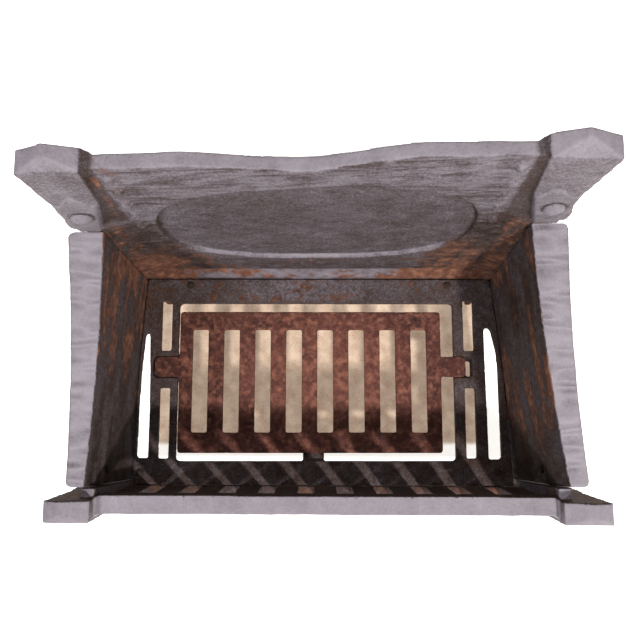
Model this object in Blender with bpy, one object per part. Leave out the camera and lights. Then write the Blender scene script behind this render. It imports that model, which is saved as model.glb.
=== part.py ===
"""Cast-iron fire basket in the hammered Arts and Crafts manner, as the castings and bolts that make it up.

Metres, +Z up. The castings are laid out in the basket frame: X to the right, Y towards the fireback, Z up
from the top of the base frame. At the end everything is raised onto its feet and centred over the origin.
"""

import math

import bmesh
import bpy
from mathutils import Vector

# ---- driving dimensions --------------------------------------------------------------------------
MM = 0.001
GAP = 0.3 * MM  # running and seating clearance between touching castings
LEG_HEIGHT = 92 * MM  # floor to the top of the base frame

REAR_HALF_WIDTH = 200 * MM  # inside of the cheeks at the fireback, a 16 inch grate
FRONT_HALF_WIDTH = 215 * MM  # inside of the cheeks at the front
DEPTH = 235.5 * MM  # fireback to front fret, inside

# The basket is old: heat has leaned, twisted and tipped the fireback, and the front sits a little to
# the right.
BACK_LEAN = 0.058
BACK_TWIST = 0.09  # further lean per metre of width
BACK_ROLL = 0.0165
FRONT_LEAN = 0.063
FRONT_SHIFT = 6.5 * MM
FRONT_SKEW = 0.0048
FRONT_STEP = 1 * MM

# fireback
FIELD_DEPTH = 6 * MM  # field of the plate, behind the pilaster face
PLATE_THICKNESS = 12.4 * MM
PLATE_HALF_WIDTH = 218 * MM
PLATE_BOTTOM = -16 * MM
PLATE_TOP = 315 * MM
DIP_DEPTH = 16.5 * MM
DIP_HALF_WIDTH = 98 * MM
DIP_CENTRE = -12 * MM
SWELL_HEIGHT = 3.5 * MM  # the top edge stands a little high to the right of the dip
SWELL_CENTRE = 96 * MM
MEDALLION_HALF_WIDTH = 151 * MM
MEDALLION_HALF_HEIGHT = 99 * MM
MEDALLION_CENTRE_Z = 162 * MM
MEDALLION_FULLNESS = 2.6  # 2 would be an ellipse
MEDALLION_DEPTH = 4.5 * MM
EAR_THICKNESS = 20.4 * MM
EAR_BASE = 186 * MM
EAR_COVE = 10 * MM  # width of the cove between ear and plate
STRAP_RISE = 2.6 * MM
STUD_X = 164 * MM
STUD_LOW = 183 * MM
STUD_PITCH = 28.5 * MM
STUD_RADIUS = 6 * MM
STUD_HEIGHT = 3.5 * MM
REAR_LEG_INNER = 180 * MM

# cheeks
WALL_THICKNESS = 6.5 * MM
CHEEK_BOTTOM = -14 * MM
CHEEK_LENGTH = 230 * MM
FLANGE_THICKNESS = 7 * MM
CHEEK_BOW = 2.5 * MM  # outward bow of the cheek's foot at mid length
CHEEK_STATIONS = 13

# front fret
RAIL_TOP = 148 * MM
RAIL_HEIGHT = 20 * MM
RAIL_BACK = 228 * MM  # in front of the fireback, before the forward lean
RAIL_FRONT = 245.5 * MM
BAR_BACK = 236.5 * MM
BAR_FRONT = 246 * MM
GAP_COUNT = 10
GAP_PITCH = 41.5 * MM
GAP_WIDTH = 17.1 * MM
SILL_TOP = -3 * MM
SILL_BOTTOM = -27 * MM
PILASTER_INNER = 217 * MM
PILASTER_OUTER = 262 * MM
PILASTER_LEFT_TRIM = 3 * MM
PILASTER_PEAK_X = 245.6 * MM
PILASTER_BACK = 231.5 * MM
PILASTER_FRONT = 252 * MM
PILASTER_SHOULDER = 160 * MM
PILASTER_PEAK = 167 * MM
PILASTER_BLOCK_TOP = 86 * MM
PILASTER_BLOCK_BASE = 24 * MM

# base frame
BASE_THICKNESS = 9 * MM
BASE_SHIFT = -1.8 * MM
OPENING_CENTRE_X = -3.6 * MM
OPENING_HALF_WIDTH = 158.5 * MM
OPENING_REAR = -29.3 * MM
OPENING_FRONT = -209.7 * MM
SMALL_SLOT_INNER = 168.4 * MM
SMALL_SLOT_WIDTH = 12 * MM
CRADLE_RADIUS = 12.3 * MM
CRADLE_LEFT = -191 * MM
CRADLE_RIGHT = 176 * MM
CRADLE_SLIT = 6.4 * MM

# rocking grate
GRATE_TOP = 0.5 * MM
GRATE_THICKNESS = 6.5 * MM
GRATE_LEFT = -160.4 * MM
GRATE_RIGHT = 139.8 * MM
GRATE_REAR = -39.6 * MM
GRATE_FRONT = -201 * MM
GRATE_SLOTS = 8
GRATE_SLOT_PITCH = 35.85 * MM
GRATE_SLOT_WIDTH = 18 * MM
GRATE_SLOT_FIRST = -145.6 * MM
GRATE_SLOT_REAR = -60.4 * MM
GRATE_SLOT_FRONT = -178 * MM
TRUNNION_Y = -103.5 * MM
TRUNNION_RADIUS = 11.8 * MM
TRUNNION_LENGTH = 28.3 * MM

# fastenings
EAR_BOLT = {"head": 10.2 * MM, "rise": 5.5 * MM, "shank": 4 * MM, "nut": 7.5 * MM}
EAR_BOLT_PLACES = {-1: (206 * MM, 229 * MM), 1: (208.8 * MM, 226 * MM)}
PILASTER_BOLT_X = 238 * MM
PILASTER_BOLT_Z = 52 * MM
JOINT_BOLT = {"x": 212.8 * MM, "head": 4.8 * MM, "rise": 2.8 * MM, "shank": 2.6 * MM, "nut": 4.7 * MM}
JOINT_BOLT_HEIGHTS = (45 * MM, 140 * MM)
SIDE_BOLT_Y = -216 * MM
SIDE_BOLT_Z = 91 * MM
SIDE_BOLT = {"head": 4.6 * MM, "rise": 2.4 * MM, "shank": 2.6 * MM, "nut": 5 * MM}
BASE_SCREW = {"head": 4.6 * MM, "rise": 2.4 * MM, "shank": 2.5 * MM, "nut": 4.6 * MM}
BASE_SCREW_PLACES = {
    "rear_left": (-149 * MM, -8.2 * MM),
    "rear_right": (149 * MM, -8.2 * MM),
    "front_left": (-201 * MM, -222 * MM),
    "front_right": (201 * MM, -222 * MM),
}
SIDES = {"left": -1, "right": 1}


# ---- meshes and materials ------------------------------------------------------------------------
def clear_scene():
    for obj in list(bpy.data.objects):
        bpy.data.objects.remove(obj, do_unlink=True)


def make_material(name, colour, roughness, metallic):
    material = bpy.data.materials.new(name)
    material.use_nodes = True
    shader = material.node_tree.nodes["Principled BSDF"]
    shader.inputs["Base Color"].default_value = (*colour, 1)
    shader.inputs["Roughness"].default_value = roughness
    shader.inputs["Metallic"].default_value = metallic
    return material


def make_object(name, bm, material=None):
    bmesh.ops.recalc_face_normals(bm, faces=bm.faces)
    mesh = bpy.data.meshes.new(name)
    bm.to_mesh(mesh)
    bm.free()
    obj = bpy.data.objects.new(name, mesh)
    bpy.context.scene.collection.objects.link(obj)
    if material:
        mesh.materials.append(material)
    return obj


def loft(rings, split=None):
    """A closed solid through rings of points. Its end caps may be split in two across a pair of corners."""
    bm = bmesh.new()
    rows = [[bm.verts.new(point) for point in ring] for ring in rings]
    count = len(rows[0])
    for low, high in zip(rows, rows[1:]):
        for i in range(count):
            j = (i + 1) % count
            bm.faces.new((low[i], low[j], high[j], high[i]))
    for row in (rows[0], rows[-1]):
        if split:
            first, last = split
            bm.faces.new(row[first : last + 1])
            bm.faces.new(row[last:] + row[: first + 1])
        else:
            bm.faces.new(row)
    return bm


def prism_y(outline, y_front, y_back):
    """An outline in XZ, pulled along Y."""
    return loft([[(x, y, z) for x, z in outline] for y in (y_front, y_back)])


def prism_z(outline, z_low, z_high):
    """An outline in XY, pulled along Z."""
    return loft([[(x, y, z) for x, y in outline] for z in (z_low, z_high)])


def prism_x(outline, x_low, x_high):
    """An outline in YZ, pulled along X."""
    return loft([[(x, y, z) for y, z in outline] for x in (x_low, x_high)])


def block(low, high):
    outline = [(low[0], low[1]), (high[0], low[1]), (high[0], high[1]), (low[0], high[1])]
    return prism_z(outline, low[2], high[2])


def rounded(low, high, radius, steps=3):
    """Outline of a rectangle in XY with rounded corners."""
    outline = []
    corners = ((high[0], high[1], 0), (low[0], high[1], 1), (low[0], low[1], 2), (high[0], low[1], 3))
    for x, y, quarter in corners:
        centre_x = x - math.copysign(radius, x - (low[0] + high[0]) / 2)
        centre_y = y - math.copysign(radius, y - (low[1] + high[1]) / 2)
        for i in range(steps + 1):
            angle = (quarter + i / steps) * math.pi / 2
            outline.append((centre_x + radius * math.cos(angle), centre_y + radius * math.sin(angle)))
    return outline


def pocket(low, high, radius):
    """A tool for cutting an upright slot with rounded corners through a casting."""
    return prism_z(rounded(low, high, radius), low[2], high[2])


def rounded_ends(start, end, radius, corner):
    """Stations along a round bar whose ends are rounded over, as pairs of place and radius."""
    stations = []
    for share in (0, 0.12, 0.32, 0.6, 1):
        drop = corner - math.sqrt(corner**2 - (corner * (1 - share)) ** 2)
        stations.append((share * corner, radius - drop))
    return [(start + along, size) for along, size in stations] + [
        (end - along, size) for along, size in reversed(stations)
    ]


def circle(centre_a, centre_b, radius, count, start=0.0):
    step = 2 * math.pi / count
    return [
        (centre_a + radius * math.cos(start + i * step), centre_b + radius * math.sin(start + i * step))
        for i in range(count)
    ]


def mirror_x(points, side):
    return [(side * p[0], *p[1:]) for p in points]


def boolean(target, operation, bm):
    """Adds or cuts a second closed mesh and keeps the result."""
    tool = make_object("tool", bm)
    modifier = target.modifiers.new("boolean", "BOOLEAN")
    modifier.operation = operation
    modifier.solver = "EXACT"
    modifier.object = tool
    graph = bpy.context.evaluated_depsgraph_get()
    result = bpy.data.meshes.new_from_object(target.evaluated_get(graph))
    old = target.data
    target.modifiers.clear()
    target.data = result
    bpy.data.meshes.remove(old)
    bpy.data.objects.remove(tool, do_unlink=True)


def add(target, bm):
    boolean(target, "UNION", bm)


def cut(target, bm):
    boolean(target, "DIFFERENCE", bm)


def reshape(obj, place, spacing=None):
    """Moves every vertex by a rule. With a spacing, long faces are first cut into cells, to bend evenly."""
    bm = bmesh.new()
    bm.from_mesh(obj.data)
    if spacing:
        for axis in (0, 2):
            low = min(v.co[axis] for v in bm.verts)
            high = max(v.co[axis] for v in bm.verts)
            steps = max(1, round((high - low) / spacing))
            normal = Vector((0, 0, 0))
            normal[axis] = 1
            for i in range(1, steps):
                point = normal * (low + (high - low) * i / steps)
                everything = list(bm.verts) + list(bm.edges) + list(bm.faces)
                bmesh.ops.bisect_plane(bm, geom=everything, dist=1e-6, plane_co=point, plane_no=normal)
    bmesh.ops.triangulate(bm, faces=bm.faces)
    bmesh.ops.dissolve_degenerate(bm, dist=2e-6, edges=bm.edges)
    for vertex in bm.verts:
        vertex.co = place(vertex.co)
    bm.to_mesh(obj.data)
    bm.free()


def smooth(obj, degrees=35):
    obj.data.shade_smooth()
    obj.data.set_sharp_from_angle(angle=math.radians(degrees))


# ---- how the old basket has moved ----------------------------------------------------------------
def warp_back(point):
    """Fireback as cast, to leaned, twisted and tipped by heat. Below the base frame nothing moves."""
    x, y, z = point
    rise = max(z, 0)
    tip = BACK_ROLL * x * min(rise / 0.1, 1)
    return Vector((x - BACK_ROLL * rise, y + BACK_LEAN * rise + BACK_TWIST * x * rise, z + tip))


def lean_front(point):
    """Front fret as cast, to the fret leaning forward, shifted to the right and standing slightly askew."""
    x, y, z = point
    return Vector((x + FRONT_SHIFT, y - FRONT_LEAN * z - FRONT_SKEW * x - FRONT_STEP, z))


# ---- fireback ------------------------------------------------------------------------------------
def top_edge(x):
    """The ogee dip in the fireback's top edge."""
    away = min(abs(x - DIP_CENTRE) / DIP_HALF_WIDTH, 1)
    swell = SWELL_HEIGHT * math.exp(-(((x - SWELL_CENTRE) / (45 * MM)) ** 2))
    return PLATE_TOP - DIP_DEPTH * (1 + math.cos(math.pi * away)) / 2 + swell


def plate_outline():
    top_steps = 28
    shoulder = 196 * MM
    outline = [(-PLATE_HALF_WIDTH, PLATE_BOTTOM), (PLATE_HALF_WIDTH, PLATE_BOTTOM)]
    outline += [(PLATE_HALF_WIDTH, EAR_BASE + 6 * MM), (shoulder, EAR_BASE + 20 * MM)]
    for i in range(top_steps + 1):
        x = shoulder * (1 - 2 * i / top_steps)
        outline.append((x, top_edge(x)))
    outline += [(-shoulder, EAR_BASE + 20 * MM), (-PLATE_HALF_WIDTH, EAR_BASE + 6 * MM)]
    return outline


def ear_corners(side):
    """The ears are not quite alike: inner top, peak and outer top corner of each."""
    if side > 0:
        return (180 * MM, 322.5 * MM), (209 * MM, 331.5 * MM), (238.5 * MM, 315.5 * MM)
    return (179 * MM, 322.5 * MM), (206 * MM, 333 * MM), (229.5 * MM, 322.5 * MM)


def ear_outline(side, cove):
    """Ear, seen from the front. Cove is how far its inner edge spreads onto the plate."""
    inner, peak, outer = ear_corners(side)
    wide = 1.5 * MM * side
    return [
        (200 * MM - cove, EAR_BASE),
        (185 * MM - cove, 250 * MM),
        (inner[0] + 0.5 * MM - cove, PLATE_TOP - 1 * MM),
        (inner[0] + 0.2 * MM - 0.5 * cove, PLATE_TOP + 2.5 * MM),
        inner,
        peak,
        outer,
        (226.5 * MM + wide, 243 * MM),
        (226.5 * MM + wide, 221 * MM),
        (230 * MM + wide, 206 * MM),
        (231 * MM + wide, 196 * MM),
        (230.5 * MM + wide, 190 * MM),
        (227.5 * MM + wide, EAR_BASE),
    ]


def ear(side):
    """Ear with a cove at its inner edge and a gabled, chamfered cap."""
    layers = [(0, 0), (2 * MM, 0.06), (4 * MM, 0.25), (5.3 * MM, 0.55)]
    layers += [(FIELD_DEPTH, 1), (EAR_THICKNESS, 0.5)]
    rings = []
    for y, share in layers:
        rings.append([(side * x, y, z) for x, z in ear_outline(side, share * EAR_COVE)])
    bm = loft(rings)
    inner, _, outer = ear_corners(side)
    front = Vector((side * outer[0], 0, outer[1])) - Vector((side * inner[0], 0, inner[1]))
    chamfer = front.cross(Vector((0, 1, 1))) * -side
    if chamfer.z < 0:
        chamfer = -chamfer
    everything = list(bm.verts) + list(bm.edges) + list(bm.faces)
    edge = Vector((side * outer[0], 0, outer[1] - 0.4 * MM))
    chamfer.normalize()
    bmesh.ops.bisect_plane(bm, geom=everything, plane_co=edge, plane_no=chamfer, clear_outer=True)
    bmesh.ops.holes_fill(bm, edges=[e for e in bm.edges if e.is_boundary])
    return bm


def strap_block(corners, side, face, sunk):
    """A strap block with a gabled top, standing proud of a face. The gable's edge is chamfered."""
    chamfer = 3.2 * MM
    front = [(side * x, face - STRAP_RISE, z - (chamfer if i > 1 else 0)) for i, (x, z) in enumerate(corners)]
    middle = [(side * x, face, z) for x, z in corners]
    back = [(side * x, face + sunk, z) for x, z in corners]
    return loft([front, middle, back])


def dome(centre, radius, rise, direction, skirt):
    """A cast or forged dome. Its foot is sunk by skirt below the surface that it stands on."""
    across = 14
    rings = []
    axis = Vector(direction)
    first = axis.orthogonal().normalized()
    second = axis.cross(first)
    levels = [(1.0, -skirt)] + [(math.cos(a), rise * math.sin(a)) for a in (0, 0.45, 0.9, 1.25)]
    for scale, height in levels:
        middle = Vector(centre) + axis * height
        rings.append(
            [
                middle
                + first * (radius * scale * math.cos(2 * math.pi * i / across))
                + second * (radius * scale * math.sin(2 * math.pi * i / across))
                for i in range(across)
            ]
        )
    return loft(rings)


def rod(start, end, radius, sides=16, turn=0.0):
    """A straight round or hexagonal bar from start to end."""
    axis = (Vector(end) - Vector(start)).normalized()
    first = axis.orthogonal().normalized()
    second = axis.cross(first)
    rings = []
    for middle in (Vector(start), Vector(end)):
        rings.append(
            [
                middle
                + first * (radius * math.cos(2 * math.pi * i / sides + turn))
                + second * (radius * math.sin(2 * math.pi * i / sides + turn))
                for i in range(sides)
            ]
        )
    return loft(rings)


def make_fireback(material):
    back_y = FIELD_DEPTH + PLATE_THICKNESS
    fireback = make_object("fireback", prism_y(plate_outline(), FIELD_DEPTH, back_y), material)
    medallion = []
    for x, z in circle(0, 0, 1, 60):
        full_x = math.copysign(abs(x) ** (2 / MEDALLION_FULLNESS), x)
        full_z = math.copysign(abs(z) ** (2 / MEDALLION_FULLNESS), z)
        medallion.append((MEDALLION_HALF_WIDTH * full_x, MEDALLION_CENTRE_Z + MEDALLION_HALF_HEIGHT * full_z))
    cut(fireback, prism_y(medallion, 0, FIELD_DEPTH + MEDALLION_DEPTH))
    ledge = [(-0.0, PLATE_BOTTOM), (0, 5 * MM), (7 * MM, 21 * MM), (9 * MM, 21 * MM), (9 * MM, PLATE_BOTTOM)]
    add(fireback, prism_x(ledge, -199 * MM, 199 * MM))
    for side in SIDES.values():
        seat = [(175 * MM, 8 * MM), (175 * MM, 6 * MM), (199 * MM, 0)]
        seat += [(PLATE_HALF_WIDTH, 0), (PLATE_HALF_WIDTH, 8 * MM)]
        add(fireback, prism_z(mirror_x(seat, side), PLATE_BOTTOM, EAR_BASE + 4 * MM))
        add(fireback, ear(side))
        wide = 1 * MM * side
        strap = [
            (201 * MM, EAR_BASE + 0.5 * MM),
            (222 * MM + wide, EAR_BASE + 0.5 * MM),
            (225 * MM + wide, 224 * MM),
            (224 * MM + wide, 252 * MM),
            (203 * MM + 2 * wide, 268 * MM - 4 * wide),
            (187 * MM, 252.5 * MM - 2.5 * wide),
        ]
        add(fireback, strap_block(strap, side, 0, 1 * MM))
        for i in range(5):
            centre = (side * STUD_X, FIELD_DEPTH, STUD_LOW + i * STUD_PITCH)
            add(fireback, dome(centre, STUD_RADIUS, STUD_HEIGHT, (0, -1, 0), 1 * MM))
        leg = [
            (side * REAR_LEG_INNER, PLATE_BOTTOM + 4 * MM),
            (side * (REAR_LEG_INNER + 6 * MM), -LEG_HEIGHT),
            (side * (PLATE_HALF_WIDTH - 2 * MM), -LEG_HEIGHT),
            (side * PLATE_HALF_WIDTH, PLATE_BOTTOM + 4 * MM),
        ]
        add(fireback, prism_y(leg, 0.2 * MM, back_y - 0.2 * MM))
        foot_low = (min(side * 186 * MM, side * 194 * MM), -15 * MM, -LEG_HEIGHT)
        foot_high = (max(side * 186 * MM, side * 194 * MM), 4 * MM, PLATE_BOTTOM - 4 * MM)
        add(fireback, block(foot_low, foot_high))
        seat_x = side * 149 * MM
        seat_low = (seat_x - 12 * MM, -19 * MM, -20 * MM)
        seat_high = (seat_x + 12 * MM, 8 * MM, -BASE_THICKNESS - GAP)
        add(fireback, block(seat_low, seat_high))
    drill_fireback(fireback)
    reshape(fireback, warp_back, spacing=62 * MM)
    smooth(fireback, 30)
    return fireback


def drill_fireback(fireback):
    clearance = 0.35 * MM
    for side in SIDES.values():
        x, z = EAR_BOLT_PLACES[side]
        cut(fireback, rod((side * x, -9 * MM, z), (side * x, 30 * MM, z), EAR_BOLT["shank"] + clearance))
        x = side * JOINT_BOLT["x"]
        for z in JOINT_BOLT_HEIGHTS:
            cut(fireback, rod((x, -9 * MM, z), (x, 30 * MM, z), JOINT_BOLT["shank"] + clearance))
    for x, y in BASE_SCREW_PLACES.values():
        if y > -DEPTH / 2:
            cut(fireback, rod((x, y, -30 * MM), (x, y, 5 * MM), BASE_SCREW["shank"] + clearance))


# ---- cheeks --------------------------------------------------------------------------------------
def cheek_station(side, s):
    """Section of a cheek at s, from 0 at the fireback to 1 at the front: wall, swept top and top flange."""
    bow = 4 * CHEEK_BOW * s * (1 - s)
    base_x = side * (REAR_HALF_WIDTH + (FRONT_HALF_WIDTH - REAR_HALF_WIDTH) * s + bow) + 4.5 * MM * s
    shift = (-3 + 9.9 * s) * MM
    inner_x = side * (200 + 21.4 * s + 2.2 * s * s) * MM + shift
    end = min(s, 1 - s) * DEPTH
    radius = 5 * MM
    round_off = radius - math.sqrt(max(radius**2 - max(radius - end, 0) ** 2, 0))
    outer_x = side * ((235 + 0.5 * side + 3.2 * s + 4.0 * s * s) * MM - round_off) + shift
    top = (183 - 25 * s - 40 * s * (1 - s)) * MM + BACK_ROLL * side * 220 * MM * (1 - s)
    under = top - FLANGE_THICKNESS
    wall = side * WALL_THICKNESS
    floor_x = base_x + (inner_x - base_x) * -CHEEK_BOTTOM / (top - CHEEK_BOTTOM)
    return [
        (base_x, CHEEK_BOTTOM),
        (floor_x, 0),
        (inner_x, top - 1.2 * MM),
        (inner_x + side * 1.2 * MM, top),
        (outer_x - side * 1.5 * MM, top),
        (outer_x, top - 1.5 * MM),
        (outer_x, under),
        (inner_x + wall + side * 3 * MM, under),
        (inner_x + wall, under - 3 * MM),
        (floor_x + wall, 0),
        (base_x + wall, CHEEK_BOTTOM),
    ]


def cheek_y(x, z, s):
    """Depth of a cheek's point: its rear edge follows the warped fireback, its front edge stands upright."""
    rise = max(z, 0)
    rear = BACK_LEAN * rise + BACK_TWIST * x * rise - 0.9 * MM
    return rear + (-CHEEK_LENGTH - rear) * s


def cheek_rings(side):
    rings = []
    ends = (0, 0.006, 0.02)
    inner = [0.02 + 0.96 * i / (CHEEK_STATIONS - 1) for i in range(1, CHEEK_STATIONS - 1)]
    for s in [*ends, *inner, *(1 - e for e in reversed(ends))]:
        rings.append([(x, cheek_y(x, z, s), z) for x, z in cheek_station(side, s)])
    return rings


def end_flange(side):
    """The cheek's rear end flange, bolted to the fireback's seat behind it."""
    rings = []
    for depth in (0, 7 * MM):
        ring = []
        for x, z in ((203.5, 10), (217.5, 10), (217.5, 172), (203.5, 172)):
            point = warp_back((side * x * MM, 0, z * MM))
            ring.append((point.x, point.y - 0.9 * MM - depth, point.z))
        rings.append(ring)
    return loft(rings)


def make_cheek(name, side, material):
    cheek = make_object(f"{name}_cheek", loft(cheek_rings(side), split=(1, 9)), material)
    add(cheek, end_flange(side))
    for z in JOINT_BOLT_HEIGHTS:
        x = side * JOINT_BOLT["x"]
        start = warp_back((x, -30 * MM, z))
        end = warp_back((x, 30 * MM, z))
        cut(cheek, rod(start, end, JOINT_BOLT["shank"] + 0.35 * MM))
    y, z = SIDE_BOLT_Y, SIDE_BOLT_Z
    cut(cheek, rod((side * 190 * MM, y, z), (side * 232 * MM, y, z), SIDE_BOLT["shank"] + 0.35 * MM))
    smooth(cheek, 30)
    return cheek


# ---- front fret ----------------------------------------------------------------------------------
def pilaster(side):
    """Front ear and leg in one: a full-height pilaster with a gabled, chamfered cap."""
    edge_x = PILASTER_OUTER - (PILASTER_LEFT_TRIM if side < 0 else 0)
    outline = [
        (PILASTER_INNER + 3 * MM, -LEG_HEIGHT),
        (PILASTER_INNER, -LEG_HEIGHT + 16 * MM),
        (PILASTER_INNER, PILASTER_SHOULDER),
        (PILASTER_PEAK_X, PILASTER_PEAK),
        (edge_x, PILASTER_SHOULDER + 1 * MM),
        (edge_x - 2.5 * MM, PILASTER_BLOCK_TOP),
        (edge_x, PILASTER_BLOCK_TOP - 10 * MM),
        (edge_x, PILASTER_BLOCK_BASE),
        (edge_x - 7 * MM, PILASTER_BLOCK_BASE - 10 * MM),
        (edge_x - 7 * MM, -LEG_HEIGHT + 16 * MM),
        (edge_x - 4 * MM, -LEG_HEIGHT),
    ]
    bm = prism_y(mirror_x(outline, side), -PILASTER_FRONT, -PILASTER_BACK)
    chamfer = Vector((0, -1, 1)).normalized()
    edge = Vector((0, -PILASTER_FRONT, PILASTER_SHOULDER))
    everything = list(bm.verts) + list(bm.edges) + list(bm.faces)
    bmesh.ops.bisect_plane(bm, geom=everything, plane_co=edge, plane_no=chamfer, clear_outer=True)
    bmesh.ops.holes_fill(bm, edges=[e for e in bm.edges if e.is_boundary])
    return bm


def rail_end_cove(side):
    """The curved step from the end of the top rail out to the pilaster."""
    inner = 212 * MM
    outer = PILASTER_INNER + 4 * MM
    outline = [
        (side * inner, -RAIL_FRONT + 0.2 * MM),
        (side * (inner + 3 * MM), -RAIL_FRONT - 1.5 * MM),
        (side * outer, -PILASTER_FRONT + 1 * MM),
        (side * outer, -PILASTER_BACK - 0.5 * MM),
        (side * (inner + 3 * MM), -RAIL_BACK - 1 * MM),
        (side * inner, -RAIL_BACK - 0.2 * MM),
    ]
    return prism_z(outline, RAIL_TOP - RAIL_HEIGHT + 0.2 * MM, RAIL_TOP - 0.4 * MM)


def make_fret(material):
    half = PILASTER_INNER + 2 * MM
    panel = block((-half, -BAR_FRONT, SILL_BOTTOM), (half, -BAR_BACK, RAIL_TOP - 5 * MM))
    fret = make_object("front_fret", panel, material)
    for i in range(GAP_COUNT):
        x = (i - (GAP_COUNT - 1) / 2) * GAP_PITCH
        low = (x - GAP_WIDTH / 2, -BAR_FRONT - 5 * MM, SILL_TOP)
        high = (x + GAP_WIDTH / 2, -BAR_BACK + 5 * MM, RAIL_TOP - RAIL_HEIGHT)
        cut(fret, block(low, high))
    add(fret, block((-212.5 * MM, -RAIL_FRONT, RAIL_TOP - RAIL_HEIGHT), (212.5 * MM, -RAIL_BACK, RAIL_TOP)))
    for side in SIDES.values():
        add(fret, pilaster(side))
        add(fret, rail_end_cove(side))
        strap = [
            (PILASTER_INNER + 0.5 * MM, PILASTER_BLOCK_BASE),
            (PILASTER_OUTER - 6.5 * MM, PILASTER_BLOCK_BASE),
            (PILASTER_OUTER - 4 * MM, PILASTER_BLOCK_TOP - 8 * MM),
            (PILASTER_BOLT_X, PILASTER_BLOCK_TOP + 4 * MM),
            (PILASTER_INNER + 0.5 * MM, PILASTER_BLOCK_TOP - 8 * MM),
        ]
        add(fret, strap_block(strap, side, -PILASTER_FRONT, 1 * MM))
        seat_low = (min(side * 190, side * 207) * MM, -BAR_FRONT + 2 * MM, -20 * MM)
        seat_high = (max(side * 190, side * 207) * MM, -211 * MM, -BASE_THICKNESS - GAP)
        shift = FRONT_SHIFT
        add(fret, block((seat_low[0] - shift, *seat_low[1:]), (seat_high[0] - shift, *seat_high[1:])))
        add(fret, side_lug(side))
        add(fret, cheek_seat(side))
    reshape(fret, lean_front)
    drill_fret(fret)
    smooth(fret, 30)
    return fret


def side_lug_faces(side):
    """Where the side lug begins, just clear of the cheek's wall, and where it ends."""
    inner = cheek_inner_x(side, -CHEEK_LENGTH, 102 * MM) + side * (WALL_THICKNESS + 0.9 * MM)
    return inner, inner + side * 6 * MM


def side_lug(side):
    """Lug behind the pilaster that the cheek's side bolt passes through, outside the cheek."""
    ends = [x - FRONT_SHIFT for x in side_lug_faces(side)]
    low = (min(ends), -PILASTER_BACK - 4 * MM, 80 * MM)
    high = (max(ends), -202 * MM, 102 * MM)
    return block(low, high)


def cheek_seat(side):
    """The wedge behind the leaning pilaster that the upright front end of the cheek butts against."""
    top = RAIL_TOP - 2 * MM
    square = (0.2 + side * FRONT_SKEW * 224) * MM  # keeps the seat square to the cheek on the skewed casting
    back = -PILASTER_BACK + FRONT_STEP + square
    outline = [(-PILASTER_BACK - 1.5 * MM, CHEEK_BOTTOM), (back, CHEEK_BOTTOM), (back, 0)]
    outline += [(back + FRONT_LEAN * top, top), (-PILASTER_BACK - 1.5 * MM, top)]
    ends = (side * (PILASTER_INNER + 0.2 * MM), side * (PILASTER_INNER + 12.5 * MM))
    return prism_x(outline, min(ends), max(ends))


def drill_fret(fret):
    clearance = 0.35 * MM
    for side in SIDES.values():
        start = lean_front((side * PILASTER_BOLT_X, -270 * MM, PILASTER_BOLT_Z))
        end = lean_front((side * PILASTER_BOLT_X, -220 * MM, PILASTER_BOLT_Z))
        cut(fret, rod(start, end, EAR_BOLT["shank"] + clearance))
        y, z = SIDE_BOLT_Y, SIDE_BOLT_Z
        cut(fret, rod((side * 218 * MM, y, z), (side * 245 * MM, y, z), SIDE_BOLT["shank"] + clearance))
    for x, y in BASE_SCREW_PLACES.values():
        if y < -DEPTH / 2:
            cut(fret, rod((x, y, -30 * MM), (x, y, 5 * MM), BASE_SCREW["shank"] + clearance))


# ---- base frame and rocking grate ----------------------------------------------------------------
def base_half_width(y):
    """Half width of the base frame, just inside the splayed cheeks, before their shift to the right."""
    s = -y / DEPTH
    bow = 4 * CHEEK_BOW * s * (1 - s)
    return REAR_HALF_WIDTH + (FRONT_HALF_WIDTH - REAR_HALF_WIDTH) * s + bow - 1.0 * MM


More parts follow.
